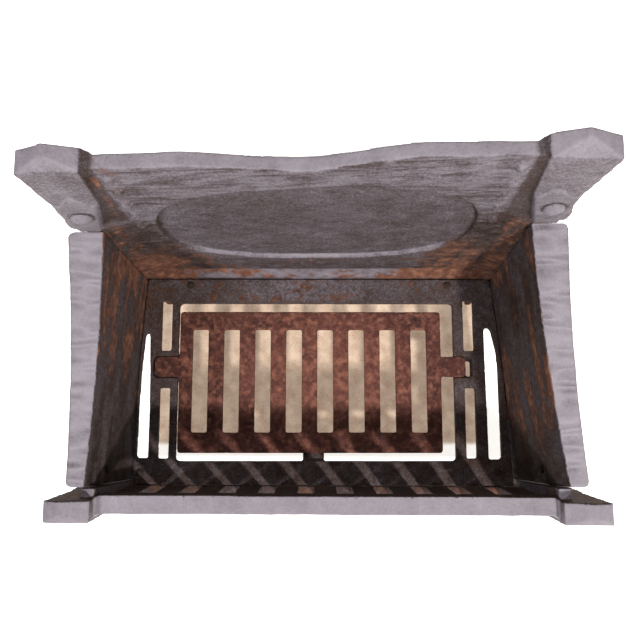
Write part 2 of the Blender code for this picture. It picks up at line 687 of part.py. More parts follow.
def make_base(material):
    rear = -1.0 * MM
    front = -DEPTH - 0.9 * MM
    lean = 4.5 * MM
    skew = 1 * MM  # the front edge follows the front fret, which stands askew
    steps = 8
    edge = []
    for i in range(steps + 1):
        y = rear + (front - rear) * i / steps
        edge.append((base_half_width(y), lean * y / front, y))
    outline = [(shift - half, y + skew * y / front) for half, shift, y in edge]
    outline += [(shift + half, y - skew * y / front) for half, shift, y in reversed(edge)]
    outline[0], outline[-1] = (outline[0][0], rear), (outline[-1][0], rear)
    base = make_object("base_frame", prism_z(outline, -BASE_THICKNESS, 0), material)
    for boss in ((CRADLE_LEFT - 2 * MM, -159.8 * MM), (156.2 * MM, CRADLE_RIGHT + 4 * MM)):
        low = (boss[0], TRUNNION_Y - 16.5 * MM, -18 * MM)
        high = (boss[1], TRUNNION_Y + 16.5 * MM, -BASE_THICKNESS + 2 * MM)
        add(base, block(low, high))
    opening_low = (OPENING_CENTRE_X - OPENING_HALF_WIDTH, OPENING_FRONT, -30 * MM)
    opening_high = (OPENING_CENTRE_X + OPENING_HALF_WIDTH, OPENING_REAR, 10 * MM)
    cut(base, pocket(opening_low, opening_high, 4 * MM))
    add(base, stop_tab())
    rings = []
    for x, radius in rounded_ends(CRADLE_LEFT, CRADLE_RIGHT, CRADLE_RADIUS, 5.5 * MM):
        rings.append([(x, y, z) for y, z in circle(TRUNNION_Y, GRATE_TOP, radius, 32)])
    cut(base, loft(rings))
    slit_low = (CRADLE_RIGHT - CRADLE_SLIT, TRUNNION_Y - 10.5 * MM, -30 * MM)
    slit_high = (CRADLE_RIGHT, TRUNNION_Y + 8 * MM, 5 * MM)
    cut(base, pocket(slit_low, slit_high, 2 * MM))
    for side in SIDES.values():
        for y_rear, y_front in ((-26 * MM, -84.8 * MM), (-127.5 * MM, -207 * MM)):
            inner = BASE_SHIFT + side * SMALL_SLOT_INNER
            outer = inner + side * SMALL_SLOT_WIDTH
            low = (min(inner, outer), y_front, -20 * MM)
            high = (max(inner, outer), y_rear, 5 * MM)
            cut(base, pocket(low, high, 1.4 * MM))
        cut(base, prism_z(side_slot(side), -20 * MM, 5 * MM))
    for x, y in BASE_SCREW_PLACES.values():
        cut(base, rod((x, y, -20 * MM), (x, y, 5 * MM), BASE_SCREW["shank"] + 0.35 * MM))
    return base


def side_slot(side):
    """The long slot beside each cheek, narrow at the rear. The two were dressed by hand and differ."""
    if side < 0:
        inner = [(193, -206.4), (192.9, -150), (193.7, -107), (195, -68), (196.2, -64.6)]
        outer = [(199.4, -64.6), (200.9, -68), (203.9, -106), (205.4, -141), (206.3, -204.4), (204.3, -206.4)]
    else:
        inner = [(191.6, -208), (191, -150), (190.6, -107), (190.2, -61.5), (192.2, -58)]
        outer = [(196.2, -58), (198.8, -61.5), (204.2, -85.7), (205.8, -106), (206.2, -206), (204.2, -208)]
    return [(side * x * MM, y * MM) for x, y in (*inner, *outer)]


def stop_tab():
    """The tab under the grate's front edge, at the middle of the opening."""
    low = (-18.5 * MM, OPENING_FRONT - 4 * MM, -14 * MM)
    high = (5.5 * MM, -197 * MM, GRATE_TOP - GRATE_THICKNESS - GAP)
    return pocket(low, high, 2.5 * MM)


def make_grate(material):
    bottom = GRATE_TOP - GRATE_THICKNESS
    plate = pocket((GRATE_LEFT, GRATE_FRONT, bottom), (GRATE_RIGHT, GRATE_REAR, GRATE_TOP), 3.5 * MM)
    grate = make_object("rocking_grate", plate)
    grate.data.materials.append(material)
    for i in range(GRATE_SLOTS):
        x = GRATE_SLOT_FIRST + i * GRATE_SLOT_PITCH
        low = (x, GRATE_SLOT_FRONT, -20 * MM)
        high = (x + GRATE_SLOT_WIDTH, GRATE_SLOT_REAR, 10 * MM)
        cut(grate, pocket(low, high, 1.5 * MM))
    for edge, side in ((GRATE_LEFT, -1), (GRATE_RIGHT, 1)):
        lug = trunnion(side * edge - 3 * MM, side * edge + TRUNNION_LENGTH)
        for vertex in lug.verts:
            vertex.co.x *= side
        add(grate, lug)
    for vertex in grate.data.vertices:
        vertex.co -= Vector((0, TRUNNION_Y, GRATE_TOP))
    grate.location = (0, TRUNNION_Y, GRATE_TOP)
    return grate


def trunnion(start, end):
    """A lug with a flat top and a half-round underside, which rolls in the base frame's cradle."""
    steps = 14
    corner = 5 * MM
    rings = []
    for x, radius in rounded_ends(start - corner, end, TRUNNION_RADIUS, corner):
        if x < start - corner / 2:
            continue
        half = []
        for i in range(steps + 1):
            angle = math.pi + math.pi * i / steps
            half.append((x, TRUNNION_Y + radius * math.cos(angle), GRATE_TOP + radius * math.sin(angle)))
        rings.append(half)
    return loft(rings)


# ---- fastenings ----------------------------------------------------------------------------------
def make_bolt(name, face, direction, length, sizes, material, place=None):
    """A dome-headed bolt: head on the face, shank running back through the work."""
    axis = Vector(direction)
    face = Vector(face) - axis * -GAP
    bolt = make_object(name, dome(face, sizes["head"], sizes["rise"], direction, 0), material)
    add(bolt, rod(face + axis * 0.8 * MM, face - axis * length, sizes["shank"], sides=12))
    if place:
        reshape(bolt, place)
    smooth(bolt, 35)
    return bolt


def make_nut(name, face, direction, thickness, sizes, material, place=None):
    """A hexagon nut with a clearance bore, standing on the far face of the work."""
    axis = Vector(direction)
    start = Vector(face) + axis * GAP
    nut = make_object(name, rod(start, start + axis * thickness, sizes["nut"], sides=6), material)
    bore = sizes["shank"] + 0.25 * MM
    cut(nut, rod(start - axis * 2 * MM, start + axis * (thickness + 2 * MM), bore, sides=16))
    if place:
        reshape(nut, place)
    return nut


def make_fastenings(material):
    forward, backward = (0, -1, 0), (0, 1, 0)
    for name, side in SIDES.items():
        x, z = EAR_BOLT_PLACES[side]
        x *= side
        face = (x, -STRAP_RISE, z)
        make_bolt(f"rear_ear_bolt_{name}", face, forward, 32 * MM, EAR_BOLT, material, warp_back)
        face = (x, EAR_THICKNESS, z)
        make_nut(f"rear_ear_nut_{name}", face, backward, 6 * MM, EAR_BOLT, material, warp_back)
        x, z = side * PILASTER_BOLT_X, PILASTER_BOLT_Z
        face = (x, -PILASTER_FRONT - STRAP_RISE, z)
        make_bolt(f"front_ear_bolt_{name}", face, forward, 30 * MM, EAR_BOLT, material, lean_front)
        face = (x, -PILASTER_BACK, z)
        make_nut(f"front_ear_nut_{name}", face, backward, 6 * MM, EAR_BOLT, material, lean_front)
        for level, height in zip(("lower", "upper"), JOINT_BOLT_HEIGHTS):
            x = side * JOINT_BOLT["x"]
            back = (x, FIELD_DEPTH + PLATE_THICKNESS, height)
            suffix = f"{name}_{level}"
            make_bolt(f"cheek_bolt_{suffix}", back, backward, 33 * MM, JOINT_BOLT, material, warp_back)
            front = (x, -7.9 * MM, height)
            make_nut(f"cheek_nut_{suffix}", front, forward, 5.5 * MM, JOINT_BOLT, material, warp_back)
        make_side_bolt(name, side, material)
    for name, (x, y) in BASE_SCREW_PLACES.items():
        make_bolt(f"base_screw_{name}", (x, y, 0), (0, 0, 1), 27 * MM, BASE_SCREW, material)
        make_nut(f"base_nut_{name}", (x, y, -20 * MM), (0, 0, -1), 4.5 * MM, BASE_SCREW, material)


def make_side_bolt(name, side, material):
    """The bolt through the cheek's wall and the fret's side lug, head inside the basket."""
    y, z = SIDE_BOLT_Y, SIDE_BOLT_Z
    wall_x = cheek_inner_x(side, y, z)
    outward = (side, 0, 0)
    inward = (-side, 0, 0)
    lug_outer = side_lug_faces(side)[1]
    length = abs(lug_outer - wall_x) + 7.5 * MM
    make_bolt(f"side_bolt_{name}", (wall_x - side * 0.5 * MM, y, z), inward, length, SIDE_BOLT, material)
    make_nut(f"side_nut_{name}", (lug_outer, y, z), outward, 4 * MM, SIDE_BOLT, material)


def cheek_inner_x(side, y, z):
    """Inner face of a cheek's wall, at a depth and a height."""
    s = min(max(-y / CHEEK_LENGTH, 0), 1)
    section = cheek_station(side, s)
    (x_low, z_low), (x_high, z_high) = section[1], section[2]
    return x_low + (x_high - x_low) * (z - z_low) / (z_high - z_low)


# ---- assembly ------------------------------------------------------------------------------------
def stand_on_floor():
    """Raises the basket onto its feet and centres its footprint over the origin."""
    bpy.context.view_layer.update()
    corners = [obj.matrix_world @ v.co for obj in bpy.data.objects for v in obj.data.vertices]
    centre = [(min(c[i] for c in corners) + max(c[i] for c in corners)) / 2 for i in (0, 1)]
    for obj in bpy.data.objects:
        obj.location -= Vector((centre[0], centre[1], -LEG_HEIGHT))


def main():
    clear_scene()
    hammered = make_material("hammered_iron", (0.30, 0.27, 0.30), 0.55, 0.35)
    sooty = make_material("sooty_iron", (0.10, 0.08, 0.08), 0.75, 0.2)
    rusty = make_material("rusty_iron", (0.28, 0.12, 0.08), 0.85, 0.1)
    steel = make_material("bolt_iron", (0.24, 0.22, 0.24), 0.5, 0.5)
    make_fireback(hammered)
    for name, side in SIDES.items():
        make_cheek(name, side, hammered)
    make_fret(hammered)
    make_base(sooty)
    make_grate(rusty)
    make_fastenings(steel)
    stand_on_floor()


main()
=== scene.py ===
"""Looks for the cast-iron fire basket: hammered castings, soot, rust, studio floor, lights and camera."""

import math

import bpy
import numpy as np
from mathutils import Matrix, Vector


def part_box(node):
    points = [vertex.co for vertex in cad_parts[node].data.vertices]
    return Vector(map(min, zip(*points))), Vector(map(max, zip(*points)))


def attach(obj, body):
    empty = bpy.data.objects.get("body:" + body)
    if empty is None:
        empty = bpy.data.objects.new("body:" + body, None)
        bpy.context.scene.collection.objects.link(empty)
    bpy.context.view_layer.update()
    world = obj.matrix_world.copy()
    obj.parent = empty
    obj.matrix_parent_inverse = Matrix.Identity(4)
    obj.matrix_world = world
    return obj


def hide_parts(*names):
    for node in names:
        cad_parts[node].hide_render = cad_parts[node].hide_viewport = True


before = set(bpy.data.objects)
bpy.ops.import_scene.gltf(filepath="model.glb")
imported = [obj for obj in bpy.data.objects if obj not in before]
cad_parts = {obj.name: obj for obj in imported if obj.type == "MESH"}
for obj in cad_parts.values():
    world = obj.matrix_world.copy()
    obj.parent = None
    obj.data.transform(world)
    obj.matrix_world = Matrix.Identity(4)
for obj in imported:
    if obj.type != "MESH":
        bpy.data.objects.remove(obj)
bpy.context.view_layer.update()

# ---- places --------------------------------------------------------------------------------------
# The basket frame is in millimetres from the middle of the base frame's rear top edge: X to the right,
# Y towards the fireback, Z up. TRUNNION_END and BASE_SETBACK are metres from there to two CAD boxes.
TRUNNION_END = 0.1887
BASE_SETBACK = 0.001
base_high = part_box("base_frame")[1]
grate_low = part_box("rocking_grate")[0]
ORIGIN = np.array((grate_low.x + TRUNNION_END, base_high.y + BASE_SETBACK, base_high.z))

CAMERA_AT = (-0.00392, -0.18899, 0.88434)  # metres from the basket frame's origin
CAMERA_TILT = math.radians(8.990)  # from looking straight down
CAMERA_YAW = 0.00532
CAMERA_ROLL = 0.00107
CAMERA_LENS = 43.495
CAMERA_SENSOR = 36

# Fireback, as cast.
BACK_ROLL = 0.0165
BACK_LEAN = 0.058
BACK_TWIST = 0.00009
MEDALLION_HALF_WIDTH = 151
MEDALLION_HALF_HEIGHT = 99
MEDALLION_HEIGHT = 162  # of its centre
MEDALLION_FULLNESS = 2.6
STUD_X = 163
STUD_LOWEST = 183
STUD_PITCH = 28.5
STUD_SIZE = 6.5
LEDGE_TOP = 21
EAR_FOOT = 187
EAR_EDGE_HEIGHTS = (186, 250, 315)
EAR_EDGE = (199, 185, 180.5)  # half distance between the ears' inner edges at those heights
EAR_MIDDLE = 203.5
EAR_BOLT_X = 207.4
EAR_BOLT_HEIGHT = 227.5
TOP_EDGE_START = (278, 288)  # the dipped top edge and the ears' caps lie above this

# Other castings.
FRET_MIDDLE = 6.5
PILASTER_INNER = (214, 219)
GRATE_MIDDLE = -10
GRATE_HALF_WIDTH = (148, 158)


# ---- procedural relief ---------------------------------------------------------------------------
def hashed(x, y, z, seed):
    """A repeatable number from 0 to 1 for each lattice cell."""
    h = (x * 374761393 + y * 668265263 + z * 1442695041 + seed * 974634777) & 0xFFFFFFFF
    h = ((h ^ (h >> 13)) * 1274126177) & 0xFFFFFFFF
    return ((h ^ (h >> 16)) & 0xFFFF) / 65535.0


def noise(points, seed=0):
    """Smooth value noise from -1 to 1."""
    cell = np.floor(points).astype(np.int64)
    f = points - cell
    f = f * f * (3 - 2 * f)
    total = np.zeros(len(points))
    for corner in range(8):
        step = [(corner >> axis) & 1 for axis in range(3)]
        weight = np.ones(len(points))
        for axis in range(3):
            weight *= f[:, axis] if step[axis] else 1 - f[:, axis]
        total += weight * hashed(cell[:, 0] + step[0], cell[:, 1] + step[1], cell[:, 2] + step[2], seed)
    return total * 2 - 1


def fractal(points, seed=0, octaves=3):
    total, size, reach = 0.0, 1.0, 0.0
    for k in range(octaves):
        total = total + size * noise(points * 2.0**k + 11.7 * k, seed + 31 * k)
        reach += size
        size *= 0.5
    return total / reach


def bowls(points, seed=0):
    """Squared distance to the nearest hammer blow: shallow bowls that meet in ridges."""
    cell = np.floor(points).astype(np.int64)
    nearest = np.full(len(points), 9.0)
    for corner in range(27):
        at = cell + np.array((corner % 3 - 1, corner // 3 % 3 - 1, corner // 9 - 1))
        distance = np.zeros(len(points))
        for axis in range(3):
            jitter = hashed(at[:, 0], at[:, 1], at[:, 2], seed + 7 * axis)
            distance += (at[:, axis] + 0.1 + 0.8 * jitter - points[:, axis]) ** 2
        nearest = np.minimum(nearest, distance)
    return nearest


def ramp(value, low, high):
    """0 below low, 1 above high, smooth between. low may be the larger."""
    t = np.clip((value - low) / (high - low), 0, 1)
    return t * t * (3 - 2 * t)


def blend(old, new, amount):
    """Old where amount is 0, new where it is 1."""
    return old * (1 - amount) + new * amount


def bell(value, width):
    """1 where value is 0, falling away over a width to either side."""
    return np.exp(-((value / width) ** 2))


def scaled(q, x, y, z):
    """Points measured in cells of x by y by z millimetres."""
    return q / np.array((x, y, z))


def flat(u, v, level=0.0):
    """Points for noise that is the same all through a casting's thickness."""
    return np.stack((u, v, u * 0 + level), 1)


def mesh_arrays(mesh):
    count = len(mesh.vertices)
    places = np.empty(count * 3, np.float32)
    mesh.vertices.foreach_get("co", places)
    normals = np.empty(count * 3, np.float32)
    mesh.vertices.foreach_get("normal", normals)
    return places.reshape(-1, 3).astype(float), normals.reshape(-1, 3).astype(float)


def apply_modifiers(obj):
    graph = bpy.context.evaluated_depsgraph_get()
    mesh = bpy.data.meshes.new_from_object(obj.evaluated_get(graph))
    obj.modifiers.clear()
    obj.data = mesh


def fine_copy(node, cell):
    """A dense, evenly meshed copy of a CAD piece with its edges slightly rounded."""
    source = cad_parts[node].data.copy()
    obj = bpy.data.objects.new(f"{node}_iron", source)
    bpy.context.scene.collection.objects.link(obj)
    remesh = obj.modifiers.new("even", "REMESH")
    remesh.mode = "VOXEL"
    remesh.voxel_size = cell
    remesh.adaptivity = 0
    soften = obj.modifiers.new("soften", "SMOOTH")
    soften.factor = 0.5
    soften.iterations = 1
    apply_modifiers(obj)
    obj.data.materials.clear()
    return obj


def thin(obj, faces):
    """Drops faces where the surface is flat, down to a number of triangles."""
    triangles = sum(len(p.vertices) - 2 for p in obj.data.polygons)
    if triangles <= faces:
        return
    modifier = obj.modifiers.new("thin", "DECIMATE")
    modifier.ratio = faces / triangles
    apply_modifiers(obj)


def place_inside(obj, node, places):
    """Moves a piece's surface to new places, held inside the box of the CAD node that it stands for."""
    low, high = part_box(node)
    places = np.clip(places, np.array(low), np.array(high))
    obj.data.vertices.foreach_set("co", places.astype(np.float32).ravel())
    obj.data.update()


def write_attribute(mesh, name, values):
    layer = mesh.attributes.new(name, "FLOAT", "POINT")
    layer.data.foreach_set("value", np.clip(values, 0, 1).astype(np.float32))


def basket_frame(places):
    """World metres to the basket frame's millimetres."""
    return (places - ORIGIN) * 1000


def finish_piece(node, body, slot, cell, relief, colouring, material, faces):
    """Builds the detailed piece that stands for a CAD node: relief first, then its tone and rust."""
    obj = fine_copy(node, cell)
    places, normals = mesh_arrays(obj.data)
    height = relief(basket_frame(places), normals)
    place_inside(obj, node, places + normals * height[:, None] / 1000)
    thin(obj, faces)
    places, normals = mesh_arrays(obj.data)
    place_inside(obj, node, places)
    tone, rust = colouring(basket_frame(places), normals)
    write_attribute(obj.data, "tone", tone)
    write_attribute(obj.data, "rust", rust)
    obj.data.materials.append(material)
    obj.data.shade_smooth()
    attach(obj, body)
    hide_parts(node)


# ---- fireback ------------------------------------------------------------------------------------
def unwarped(q):
    """Fireback coordinates before heat leaned, twisted and tipped it."""
    rise = np.maximum(q[:, 2], 0)
    x = q[:, 0] + BACK_ROLL * rise
    y = q[:, 1] - BACK_LEAN * rise - BACK_TWIST * x * rise
    z = q[:, 2] - BACK_ROLL * x * np.minimum(rise / 100, 1)
    return x, y, z


def medallion_rim(x, z):
    """Below 1 inside the medallion, 1 on its rim."""
    across = np.abs(x) / MEDALLION_HALF_WIDTH
    up = np.abs(z - MEDALLION_HEIGHT) / MEDALLION_HALF_HEIGHT
    return across**MEDALLION_FULLNESS + up**MEDALLION_FULLNESS


def ear_mask(x, z):
    """1 on the two ears, whose inner edges lean towards each other."""
    edge = np.interp(z, EAR_EDGE_HEIGHTS, EAR_EDGE)
    return ramp(np.abs(x) - edge, -1, 1.5) * ramp(z, EAR_FOOT - 4, EAR_FOOT)


def hammered_ripple(x, z, seed):
    """Rows of shallow, wandering hammer strokes with crisp ridges between them."""
    wander = 3 * fractal(flat(x / 80, z / 50), seed, 2)
    row = noise(flat(x / 38, (z + wander) / 5.0, 3.3), seed + 1)
    row = row + 0.5 * noise(flat(x / 17, (z + wander) / 3.2, 7.1), seed + 2)
    return 0.45 - np.abs(row)


def stud_bumps(x, z):
    """1 on the five studs beside each ear."""
    level = (z - STUD_LOWEST) / STUD_PITCH
    off_row = np.abs(level - np.clip(np.round(level), 0, 4)) * STUD_PITCH
    return bell(np.hypot(np.abs(x) - STUD_X, off_row), STUD_SIZE)


def fireback_relief(q, n):
    x, y, z = unwarped(q)
    facing = ramp(-n[:, 1], 0.6, 0.95)
    upward = ramp(n[:, 2], 0.6, 0.9)
    rear = ramp(n[:, 1], 0.5, 0.9)
    inside = 1 - ramp(medallion_rim(x, z), 0.80, 1.0)
    ear = ear_mask(x, z)
    field = facing * (1 - ear)
    ripple = hammered_ripple(x, z, 3)
    broad = fractal(np.stack((x / 38, y / 30, z / 16), 1), 9, 2)
    blows = bowls(np.stack((x / 15, y / 40, z / 15), 1), 5)
    grain = fractal(scaled(q, 2.2, 2.2, 2.2), 21, 2)
    scabs = ramp(fractal(scaled(q, 14, 14, 9), 15, 3), 0.22, 0.6) * ramp(z, 200, 120)

    height = field * (1 - inside) * (1.35 * ripple * ramp(z, 40, 90) + 0.4 * broad)
    height += field * inside * (0.22 * broad + 0.16 * ripple)
    height += field * 0.6 * scabs
    height += field * stud_bumps(x, z) * (1.9 + 0.8 * fractal(scaled(q, 7, 7, 7), 17, 2))
    height += facing * ear * (0.42 * (blows - 0.3) + 0.3 * broad)
    height += upward * 0.14 * fractal(np.stack((x / 9, y / 30, z / 30), 1), 13, 2)
    return height + rear * 0.3 * broad + 0.09 * grain


def ear_tone(tone, side, away, z, ear, low, fine):
    """Adds the ears: grey, with painted shade at the foot, a paler gabled strap with a painted highlight
    under its edge, and painted shade around the bolt.
    """
    # The dark band at the ears' foot is painted shade where the cheek flange meets them.
    tone = blend(tone, 0.41 + 0.12 * low + 0.10 * fine + 0.35 * ramp(z, EAR_FOOT + 2.5, EAR_FOOT), ear)
    gable = 252 - 2.5 * side + (15.5 - 1.5 * side) * ramp(np.abs(away - EAR_MIDDLE), 18, 0)
    strap = ear * ramp(gable - z, 0, 3) * ramp(away, 186, 189)
    # The strap is paler, and a pale line just under its gabled edge is a painted highlight.
    tone = tone - 0.08 * strap - 0.12 * ear * bell(gable - z - 1.8, 1.6)
    # Painted shade: a dark ring round the bolt head, and a darker patch under it.
    ring = np.hypot(away - EAR_BOLT_X - 1.4 * side, z - EAR_BOLT_HEIGHT + 1.5 * side)
    return tone + 0.34 * ear * bell(ring - 10.8, 1.3) + 0.10 * ear * ramp(ring, 10, 8)


def fireback_colouring(q, n):
    x, _, z = unwarped(q)
    side = np.sign(x)
    away = np.abs(x)
    upward = ramp(n[:, 2], 0.55, 0.8)
    rear = ramp(n[:, 1], 0.3, 0.7)
    low = fractal(scaled(q, 45, 45, 30), 41, 4)
    fine = fractal(scaled(q, 9, 9, 4), 43, 4)
    flow = fractal(scaled(q, 6, 6, 24), 45, 3)
    rim = medallion_rim(x, z)
    inside = 1 - ramp(rim, 0.93, 1.02)
    ear = ear_mask(x, z)
    band = ramp(z + 9 * low, 84, 56) * (1 - inside)
    corner = ramp(away + 0.35 * (150 - z) + 16 * low + 5 * fine, 118, 158)
    corner = corner * ramp(z + 20 * low + 6 * fine, 236, 176) * (1 - 0.55 * inside)
    cove = ramp(away + 2 * fine, 168, 175) * (1 - ear) * ramp(z, 170, 200)
    ledge = ramp(z, LEDGE_TOP + 2, LEDGE_TOP - 2) * ramp(z, -2, 2)

    ripple = hammered_ripple(x, z, 3)
    # Painted light and shade: the hammer strokes' ridges are painted paler and their hollows darker, on
    # top of the random tone.
    tone = 0.54 + 0.08 * low + 0.06 * fine - 0.36 * ripple * (1 - inside) * ramp(z, 130, 200)
    tone = tone - 0.10 * ramp(z, 205, 300) * (1 - inside) * ramp(low, -0.5, 0.4)
    tone = tone + inside * (0.02 + 0.10 * fine)
    # Painted shadow: a thin dark line along the medallion's recess at its top and sides.
    tone = tone + 0.25 * bell(rim - 0.99, 0.035) * ramp(z, 110, 150)
    tone = np.maximum(tone, (0.66 + 0.26 * fine) * band)
    tone = np.maximum(tone, (0.84 + 0.34 * fine) * corner)
    tone = np.maximum(tone, (0.76 + 0.10 * low) * cove)
    ledge_tone = 0.20 + 0.2 * low + 0.26 * fine + 0.4 * ramp(away, 120, 175)
    tone = blend(tone, ledge_tone, 0.75 * ledge)
    tone = ear_tone(tone, side, away, z, ear, low, fine)
    top = upward * ramp(z, *TOP_EDGE_START) * (1 - 0.8 * cove)
    tone = blend(tone, 0.19 + 0.10 * low + 0.08 * fine, top)
    # The pale lower lip of the medallion is ash on its upward ledge, with a painted highlight.
    lip = bell(rim - 0.985, 0.035) * ramp(z, 112, 84)
    tone = blend(tone, 0.36 - 0.315 * ramp(fine + low, -0.6, 0.6), lip)
    tone = blend(tone, 0.45 + 0.15 * low, rear)

    rust = 0.52 * corner * ramp(z + 0.8 * (away - 150) + 15 * flow, 175, 90)
    rust = rust * ramp(low + flow, -0.8, 0.3)
    seat = ramp(away, 174, 184) * ramp(z, 200, 180)
    rust = np.maximum(rust, 0.60 * seat * ramp(flow + fine, -0.7, 0.3))
    rust = rust + 0.40 * band * ramp(fine + low, -0.2, 0.6)
    specks = ramp(fractal(scaled(q, 5, 5, 5), 57, 3), 0.22, 0.55)
    rust = rust + specks * (0.42 * inside * ramp(z, 175, 95) + 0.25 * (1 - inside) * (1 - ear))
    streak = bell(away - 181 + (z - 200) * 0.06, 3.6) * ramp(z, 190, 215) * ramp(z, 320, 290)
    rust = rust + 0.62 * streak * (side < 0) * ramp(flow, -0.5, 0.2)
    rust = rust + ledge * (0.22 + 0.25 * ramp(fine + low, -0.3, 0.6)) + 0.25 * rear * ramp(low, 0, 0.6)
    studs = bell(away - STUD_X, 10) * ramp(z, 180, 200) * (1 - ear)
    rust = rust + studs * (0.45 * (side < 0) * ramp(z, 240, 290) + 0.15) * ramp(fine, -0.3, 0.4)
    return tone, rust


# ---- cheeks --------------------------------------------------------------------------------------
def cheek_ripple(q):
    """Strokes drawn across the cheek's top flange."""
    wander = 4 * fractal(scaled(q, 40, 30, 60), 28, 2)
    row = noise(flat(q[:, 0] / 26, (q[:, 1] + wander) / 5.6, 1.7), 27)
    return 0.4 - np.abs(row)


def cheek_relief(q, n):
    upward = ramp(n[:, 2], 0.6, 0.9)
    side = (1 - upward) * ramp(np.abs(n[:, 0]), 0.5, 0.9)
    grain = fractal(scaled(q, 2.2, 2.2, 2.2), 23, 2)
    wall = fractal(scaled(q, 20, 30, 16), 29, 3)
    scabs = ramp(fractal(scaled(q, 9, 24, 8), 31, 3), 0.2, 0.55)
    return upward * 1.6 * cheek_ripple(q) + side * (0.3 * wall + 0.35 * scabs) + 0.09 * grain


def cheek_colouring(q, n):
    upward = ramp(n[:, 2], 0.55, 0.85)
    inward = ramp(-n[:, 0] * np.sign(q[:, 0]), 0.3, 0.8)
    outward = (1 - inward) * (1 - upward)
    low = fractal(scaled(q, 30, 30, 60), 47, 4)
    streaks = fractal(scaled(q, 12, 46, 13), 49, 4)
    fine = fractal(scaled(q, 5, 5, 9), 51, 4)

    # Painted light and shade: the flange's stroke ridges are painted paler and their hollows darker.
    flange = 0.16 + 0.06 * low + 0.05 * fine - 0.34 * cheek_ripple(q)
    soot = np.maximum(0.80 + 0.14 * low + 0.40 * streaks + 0.24 * fine, 0.66)
    tone = blend(soot, flange, upward)
    tone = blend(tone, 0.36 + 0.14 * low, outward)

    right = q[:, 0] > 0
    middle = bell(q[:, 1] + 60 + 65 * right, 62)
    rear = ramp(q[:, 1], -45, -8)
    rust = 0.72 * middle * ramp(streaks, -0.4, 0.25) + 0.50 * rear * ramp(streaks, -0.35, 0.3)
    rust = rust + 0.26 * ramp(fine + streaks, -0.1, 0.6) + 0.20 * ramp(-streaks, -0.1, 0.4)
    return tone, inward * rust + outward * 0.2 * ramp(low, 0, 0.5)


# ---- front fret ----------------------------------------------------------------------------------
def pilaster_mask(q):
    """1 on the two pilasters, 0 on the barred panel between them."""
    return ramp(np.abs(q[:, 0] - FRET_MIDDLE), *PILASTER_INNER)


def fret_relief(q, n):
    upward = ramp(n[:, 2], 0.6, 0.9)
    facing = ramp(-n[:, 1], 0.6, 0.95)
    pilaster = pilaster_mask(q)
    grain = fractal(scaled(q, 2.2, 2.2, 2.2), 25, 2)
    broad = fractal(scaled(q, 16, 12, 16), 33, 2)
    blows = bowls(scaled(q, 15, 40, 15), 35)
    strokes = 0.4 - np.abs(noise(scaled(q, 5.5, 20, 26), 37))
    height = facing * (pilaster * 0.6 * (blows - 0.3) + (1 - pilaster) * 0.35 * broad)
    height = height + upward * ramp(q[:, 2], 100, 140) * (0.35 * strokes + 0.15 * broad)
    return height + (1 - facing) * (1 - upward) * 0.12 * broad + 0.10 * grain


def fret_colouring(q, n):
    upward = ramp(n[:, 2], 0.3, 0.6)
    facing = ramp(-n[:, 1], 0.3, 0.6)
    rear = ramp(n[:, 1], 0.3, 0.7)
    rail = ramp(q[:, 2], 110, 140)
    low = fractal(scaled(q, 40, 40, 40), 53, 4)
    fine = fractal(scaled(q, 5, 5, 5), 55, 4)
    open_face = np.clip(upward * rail + facing, 0, 1)
    tone = blend(0.80 + 0.12 * low + 0.08 * fine, 0.14 + 0.07 * low + 0.06 * fine, open_face)
    tone = blend(tone, 0.16 + 0.08 * low + 0.05 * fine, pilaster_mask(q) * (1 - rear))
    # Painted shade: faces turned to the rear are painted near black.
    tone = np.maximum(tone, 0.90 * rear)
    rust = 0.50 * (1 - open_face) * ramp(low, -0.3, 0.5) + 0.22 * open_face * ramp(fine, 0.15, 0.6)
    return tone, rust


# ---- base frame and rocking grate ----------------------------------------------------------------
def plate_relief(q, _):
    grain = fractal(scaled(q, 1.9, 1.9, 1.9), 61, 2)
    broad = fractal(scaled(q, 18, 18, 18), 63, 2)
    pits = ramp(fractal(scaled(q, 3.6, 3.6, 3.6), 65, 2), 0.28, 0.6)
    return 0.16 * grain + 0.16 * broad - 0.30 * pits


def base_colouring(q, _):
    low = fractal(scaled(q, 34, 34, 34), 67, 4)
    fine = fractal(scaled(q, 5, 5, 5), 69, 4)
    rear = ramp(q[:, 1], -32, -22)
    front = ramp(q[:, 1], -205, -222)
    middle = 1 - ramp(np.abs(q[:, 0] - GRATE_MIDDLE), 40, 170)
    tone = 0.76 + 0.12 * low + 0.16 * fine - 0.32 * rear * middle * ramp(low + fine, -0.6, 0.4)
    rust = 0.38 * ramp(low + 0.6 * fine, -0.3, 0.5) + 0.34 * rear * ramp(fine, -0.3, 0.4)
    return tone, rust - 0.08 * front


def grate_colouring(q, _):
    low = fractal(scaled(q, 30, 30, 30), 71, 4)
    fine = fractal(scaled(q, 4, 4, 4), 73, 4)
    middle = 1 - ramp(np.hypot((q[:, 0] - 15) / 120, (q[:, 1] + 110) / 90), 0.3, 1.1)
    lugs = ramp(np.abs(q[:, 0] - GRATE_MIDDLE), *GRATE_HALF_WIDTH)
    tone = 0.62 - 0.22 * middle + 0.30 * low + 0.10 * lugs
    rust = 0.48 + 0.16 * middle + 0.60 * fine + 0.24 * low
    return tone, rust


# ---- fasteners -----------------------------------------------------------------------------------
def fastener_relief(q, _):
    worn = fractal(scaled(q, 7, 7, 7), 80, 2)
    return 0.5 * worn + 0.16 * fractal(scaled(q, 3.5, 3.5, 3.5), 81, 2)


def open_fastener_colouring(q, _):
    fine = fractal(scaled(q, 4, 4, 4), 83, 3)
    return 0.20 + 0.10 * fine, 0.20 * ramp(fine, 0.0, 0.6)


def hearth_fastener_colouring(q, _):
    fine = fractal(scaled(q, 4, 4, 4), 85, 3)
    return 1.0 + 0.08 * fine, 0.34 + 0.3 * fine


